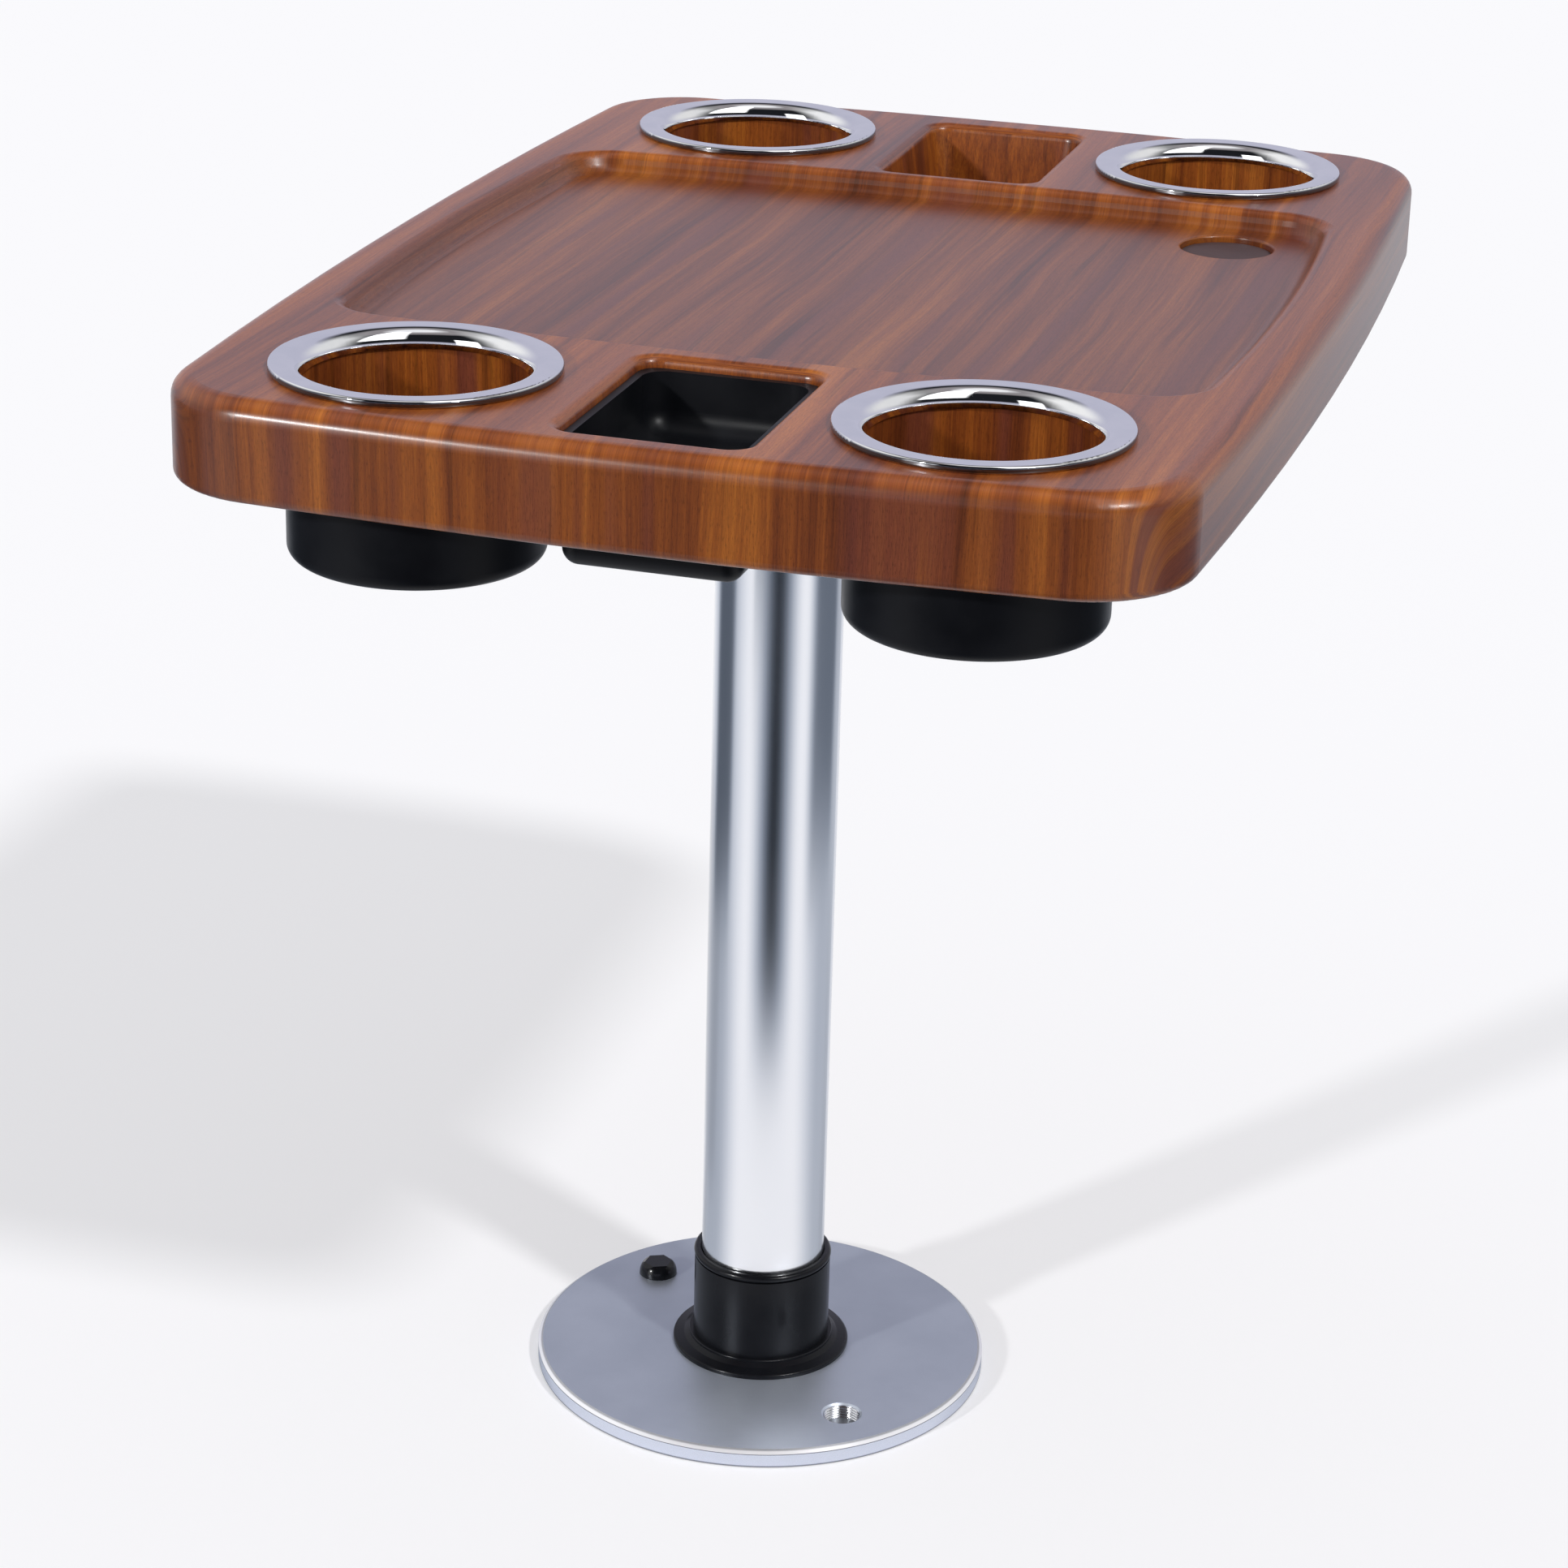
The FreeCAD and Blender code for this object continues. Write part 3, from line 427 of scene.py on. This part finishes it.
def chrome():
    """Polished plating with the faint haze and turning lines of a buffed ring.

    Its colour is painted darker at the ring's outer edge: painted shade and a painted dark
    reflection."""
    material, g = new_material("chrome", Metallic=1.0)
    haze = g.spots(14.0, 3.0)
    lines = g.spots(0.5, 1.0, (1.0, 1.0, 0.35))
    outer = g.step(from_holder(g)[0], ring_radius / MM - 1.6, ring_radius / MM - 0.8)
    # Painted shade and dark reflection: the sides of the outer edge are painted dark
    painted_dark_edge = g.times(outer, g.fall(g.facing()[2], 0.35, 0.8))
    colour = g.colour(g.times(painted_dark_edge, 0.85), g.ramp(haze, chrome_stops), chrome_painted_dark)
    roughness = g.step(haze, 0.3, 0.7, 0.03, 0.06)
    set_shader(g, Base_Color=colour, Roughness=roughness, Normal=g.bump(lines, 0.0008))
    return material


def post_metal():
    """Satin anodised tube with fine drawn lines along it."""
    material, g = new_material("post_metal", Metallic=1.0)
    lines = g.spots(0.45, 2.0, (1.0, 1.0, 160.0))
    clouds = g.spots(30.0, 2.0, (1.0, 1.0, 4.0))
    grains = g.spots(0.35, 1.0)
    colour = g.ramp(clouds, post_stops)
    roughness = g.step(clouds, 0.3, 0.7, 0.165, 0.21)
    relief = g.add(g.times(lines, 0.5), g.times(grains, 0.5))
    set_shader(g, Base_Color=colour, Roughness=roughness, Normal=g.bump(relief, 0.003))
    return material


def plate_metal():
    """Bead-blasted, anodised face with a turned, polished bevel and side.

    Painted dark lines, which stand in for dark reflections, run where the bevel meets the face and
    the side, and painted shade runs round the foot. The bevel's white is partly a painted
    highlight."""
    material, g = new_material("plate_metal", Metallic=1.0)
    x, y, z = g.place()
    radius = g.length(x, y)
    rim = plate_radius / MM
    top = plate_top / MM
    side_top = (plate_top - bevel_depth) / MM
    grains = g.spots(0.4)
    clouds = g.spots(38.0, 3.0)

    turned_part = g.step(radius, rim - 2.5, rim - 2.1)
    side = g.fall(z, side_top - 0.5, side_top - 0.1)
    # The bevel's white is partly a painted highlight
    polished = g.colour(side, bevel_tone_and_highlight, side_colour)
    # Painted dark reflection lines where the bevel meets the face and the side, and painted shade
    # round the foot
    lower_painted_dark_line = g.fall(g.absolute(g.minus(z, side_top - 0.25)), 0.1, 0.35)
    upper_painted_dark_line = g.times(g.step(z, top - 0.9, top - 0.4), 0.75)
    foot_painted_shade = g.fall(z, 0.5, 1.3)
    painted_dark_lines = g.most(g.most(lower_painted_dark_line, upper_painted_dark_line), foot_painted_shade)
    polished = g.colour(g.times(painted_dark_lines, 0.85), polished, plate_painted_dark)
    colour = g.colour(turned_part, g.ramp(clouds, blasted_stops), polished)

    turning = g.noise(g.vector(g.times(radius, 6.0), g.times(z, 6.0)), 1.0)
    relief = g.blend(turned_part, grains, g.times(turning, 0.25))
    roughness = g.blend(turned_part, g.step(grains, 0.2, 0.8, 0.40, 0.48), 0.26)
    # The bevel's low metallic lets its white show as a painted highlight
    metallic = g.blend(turned_part, 0.76, g.blend(side, 0.35, 0.80))
    set_shader(
        g, Base_Color=colour, Metallic=metallic, Roughness=roughness, Normal=g.bump(relief, 0.012)
    )
    return material


def plain_metal(name, colour, roughness, lump=0.5, depth=0.008):
    """Metal with a fine grain in its surface and slow changes of tone."""
    material, g = new_material(name, Metallic=1.0)
    clouds = g.spots(18.0, 3.0)
    darker = tuple(part * 0.86 for part in colour)
    tone = g.ramp(clouds, [(0.3, darker), (0.7, colour)])
    rough = g.step(clouds, 0.3, 0.7, roughness * 0.85, roughness * 1.15)
    set_shader(g, Base_Color=tone, Roughness=rough, Normal=g.bump(g.spots(lump), depth))
    return material


# Plastics and rubber

def plastic(name, colour, roughness, lump=0.6, depth=0.006, specular=0.5):
    """Moulded plastic with a fine eggshell grain and faint changes of gloss."""
    material, g = new_material(name, Specular_IOR_Level=specular)
    clouds = g.spots(25.0, 3.0)
    lighter = tuple(part * 1.35 + 0.002 for part in colour)
    tone = g.ramp(clouds, [(0.35, colour), (0.75, lighter)])
    rough = g.step(clouds, 0.3, 0.7, roughness * 0.88, roughness * 1.12)
    set_shader(g, Base_Color=tone, Roughness=rough, Normal=g.bump(g.spots(lump), depth))
    return material


black = (0.0042, 0.0046, 0.0062)
plug_brown = (0.060, 0.037, 0.038)
foot_grey = (0.02, 0.02, 0.021)
rubber_grey = (0.022, 0.021, 0.02)
cover_grey = (0.50, 0.52, 0.55)
cast_grey = (0.05, 0.052, 0.056)
steel_grey = (0.60, 0.60, 0.62)
blackened = (0.045, 0.045, 0.05)
thread_grey = (0.78, 0.79, 0.83)

# Lump and depth are how wide and how deep the surface's grain is, in millimetres
plastics = {
    "cup_plastic": dict(colour=black, roughness=0.34, specular=0.10),
    "tray_plastic": dict(colour=black, roughness=0.40, specular=0.18),
    "plug_plastic": dict(colour=plug_brown, roughness=0.5, lump=0.9, depth=0.02, specular=0.28),
    "collar_plastic": dict(colour=black, roughness=0.24, lump=0.7, depth=0.002, specular=0.16),
    "bushing_plastic": dict(colour=black, roughness=0.20, lump=0.8, depth=0.001, specular=0.20),
    "button_plastic": dict(colour=black, roughness=0.14, lump=0.8, depth=0.002, specular=0.25),
    "foot_plastic": dict(colour=foot_grey, roughness=0.45),
    "pad_rubber": dict(colour=rubber_grey, roughness=0.75, lump=0.9, depth=0.03, specular=0.3),
}
plain_metals = {
    "cover_metal": dict(colour=cover_grey, roughness=0.38),
    "receiver_metal": dict(colour=cast_grey, roughness=0.5, lump=1.2, depth=0.05),
    "screw_steel": dict(colour=steel_grey, roughness=0.24, lump=0.3, depth=0.004),
    "black_screw": dict(colour=blackened, roughness=0.35, lump=0.3, depth=0.004),
    "thread_metal": dict(colour=thread_grey, roughness=0.16, lump=0.3, depth=0.003),
}
materials = {
    "top_wood": wood(),
    "ring_chrome": chrome(),
    "post_metal": post_metal(),
    "plate_metal": plate_metal(),
    **{name: plastic(name, **look) for name, look in plastics.items()},
    **{name: plain_metal(name, **look) for name, look in plain_metals.items()},
}

slots = {part["node"]: part["material_slot"] for part in frame["record"]["subparts"]}
for name, node in frame["nodes"].items():
    node.data.materials.clear()
    node.data.materials.append(materials[slots[name]])


# Spring of the brake

def brake_coil():
    """The coil of the CAD model, copied with a mesh of its own and fixed to the base in place of
    the CAD spring, which is hidden.
    """
    spring = frame["nodes"]["brake_spring"]
    coil = bpy.data.objects.new("brake_coil", spring.data.copy())
    bpy.context.scene.collection.objects.link(coil)
    coil.matrix_world = spring.matrix_world.copy()
    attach(coil, "base")
    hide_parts("brake_spring")
    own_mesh(coil)


brake_coil()


# Thread in the plate's open hole. Sides are those of its mesh round the hole, and steps are the
# rows of its mesh in one turn.

thread_pitch = 1.35 * MM
thread_depth = 0.8 * MM
thread_chamfer = 0.9 * MM
thread_sides = 72
thread_steps = 8
sleeve_skin = 0.05 * MM


def thread_sleeve():
    """The turns of the thread, cut in a thin sleeve that lines the hole."""
    low = cover_top + sleeve_skin
    high = plate_top - thread_chamfer - sleeve_skin
    levels = round((high - low) / thread_pitch * thread_steps)
    turns = [k / thread_sides for k in range(thread_sides)]
    mesh = bmesh.new()

    def threaded(turn, z):
        phase = (z / thread_pitch + turn) % 1.0
        crest = 1 - abs(2 * phase - 1)
        return thread_radius - sleeve_skin - thread_depth * crest

    def ring(radii, z):
        row = []
        for k, radius in enumerate(radii):
            angle = 2 * math.pi * k / thread_sides
            x = thread_x + radius * math.cos(angle)
            y = thread_y + radius * math.sin(angle)
            row.append(mesh.verts.new((x, y, z)))
        return row

    heights = [low + (high - low) * level / levels for level in range(levels + 1)]
    rows = [ring([threaded(turn, z) for turn in turns], z) for z in heights]
    rows += [ring([thread_radius - sleeve_skin / 2] * thread_sides, z) for z in (high, low)]
    for k_row, row in enumerate(rows):
        above = rows[(k_row + 1) % len(rows)]
        for k in range(thread_sides):
            after = (k + 1) % thread_sides
            mesh.faces.new((row[after], row[k], above[k], above[after]))
    bmesh.ops.recalc_face_normals(mesh, faces=mesh.faces)
    data = bpy.data.meshes.new("thread_sleeve")
    mesh.to_mesh(data)
    mesh.free()
    data.shade_smooth()
    data.materials.append(materials["thread_metal"])
    piece = bpy.data.objects.new("thread_sleeve", data)
    bpy.context.scene.collection.objects.link(piece)
    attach(piece, "base")


thread_sleeve()


# Studio

def ray_kinds(g):
    """Whether a ray comes from the camera, and whether it was mirrored or passed through."""
    light_path = g.node("ShaderNodeLightPath").outputs
    mirrored = g.most(light_path["Is Glossy Ray"], light_path["Is Transmission Ray"])
    return light_path["Is Camera Ray"], mirrored


def floor_material():
    """White, with the object's shadow. What a camera or a mirror sees of it is lifted to white.

    Dark cards lie round the post, for mirrored rays alone: they draw the dark bands in the
    metal."""
    material = bpy.data.materials.new("floor")
    material.use_nodes = True
    tree = material.node_tree
    tree.nodes.clear()
    g = Graph(tree)
    from_camera, mirrored = ray_kinds(g)
    x, y, z = g.place()
    radius = g.length(x, y)
    angle = g.azimuth(x, y)
    dark = 0.0
    for card in dark_cards:
        core = card["spread"] * card["core"]
        away = g.turned(angle, card["azimuth"])
        share = g.step(away, core, card["spread"], card["depth"], 0.0)
        share = g.times(share, g.step(radius, card["start"], card["start"] * card_fade))
        dark = g.most(dark, share)
    dark = g.times(dark, mirrored)
    shown = g.minus(1.0, dark)
    tint = g.colour(dark, floor_tint, card_colour)
    glow = g.times(g.times(g.most(from_camera, mirrored), floor_lift), shown)
    emission = g.node("ShaderNodeEmission", {"Color": tint, "Strength": glow})
    white = g.darken(tint, g.times(shown, floor_white))
    diffuse = g.node("ShaderNodeBsdfDiffuse", {"Color": white})
    together = g.node("ShaderNodeAddShader")
    g.put(together.inputs[0], emission.outputs[0])
    g.put(together.inputs[1], diffuse.outputs[0])
    g.node("ShaderNodeOutputMaterial", {"Surface": together.outputs[0]})
    return material


def make_floor():
    mesh = bpy.data.meshes.new("floor")
    corners = [(-1, -1), (1, -1), (1, 1), (-1, 1)]
    places = [(x * floor_half, y * floor_half, 0) for x, y in corners]
    mesh.from_pydata(places, [], [(0, 1, 2, 3)])
    mesh.materials.append(floor_material())
    floor = bpy.data.objects.new("floor", mesh)
    bpy.context.scene.collection.objects.link(floor)
    floor.location.z = -floor_drop


def make_world():
    """Soft light all round, the room and soft boxes for mirrors, and white for the camera."""
    world = bpy.data.worlds.new("studio")
    world.use_nodes = True
    bpy.context.scene.world = world
    tree = world.node_tree
    g = Graph(tree)
    from_camera, mirrored = ray_kinds(g)
    x, y, z = g.parts(g.node("ShaderNodeTexCoord").outputs["Generated"])
    angle = g.azimuth(x, y)
    elevation = g.times(g.math("ARCSINE", z), 180 / math.pi)
    height = g.times(elevation, 1 / 90)
    sideways = g.step(g.turned(angle, behind_table), behind_core, behind_spread)
    studio = g.colour(sideways, g.ramp(height, room_behind), g.ramp(height, room_around))
    for box in mirrored_boxes:
        core = box["spread"] * box["core"]
        share = g.fall(g.turned(angle, box["azimuth"]), core, box["spread"])
        share = g.times(share, g.step(elevation, box["low"], box["low"] + box["fade"]))
        share = g.times(share, g.fall(elevation, box["high"] - box["fade"], box["high"]))
        studio = g.colour(share, studio, (box["glow"],) * 3)
    colour = g.colour(mirrored, ambient, studio)
    colour = g.colour(from_camera, colour, background)
    g.put(tree.nodes["Background"].inputs["Color"], colour)


def make_lamp(name, azimuth, elevation, width, strength):
    data = bpy.data.lights.new(name, "SUN")
    data.angle = math.radians(width)
    data.energy = strength
    data.specular_factor = lamp_gloss
    lamp = bpy.data.objects.new(name, data)
    a, e = math.radians(azimuth), math.radians(elevation)
    out = Vector((math.cos(a) * math.cos(e), math.sin(a) * math.cos(e), math.sin(e)))
    lamp.rotation_euler = out.to_track_quat("Z", "Y").to_euler()
    bpy.context.scene.collection.objects.link(lamp)


def make_camera():
    yaw, pitch, roll = (math.radians(angle) for angle in (camera_yaw, camera_pitch, camera_roll))
    level = math.cos(pitch)
    ahead = Vector((-math.sin(yaw) * level, math.cos(yaw) * level, -math.sin(pitch)))
    level_right = Vector((math.cos(yaw), math.sin(yaw), 0))
    level_up = level_right.cross(ahead)
    right = math.cos(roll) * level_right + math.sin(roll) * level_up
    above = -math.sin(roll) * level_right + math.cos(roll) * level_up
    data = bpy.data.cameras.new("camera")
    data.sensor_width = sensor_width
    data.sensor_fit = "HORIZONTAL"
    data.lens = focal_pixels / frame_pixels * sensor_width
    data.clip_end = camera_reach
    camera = bpy.data.objects.new("camera", data)
    turn = Matrix((right, above, -ahead)).transposed().to_4x4()
    camera.matrix_world = Matrix.Translation(camera_place) @ turn
    bpy.context.scene.collection.objects.link(camera)
    bpy.context.scene.camera = camera


make_floor()
make_world()
make_lamp("right_lamp", **right_lamp)
make_lamp("left_lamp", **left_lamp)
make_camera()
bpy.context.scene.view_settings.view_transform = "Standard"

bpy.context.view_layer.update()
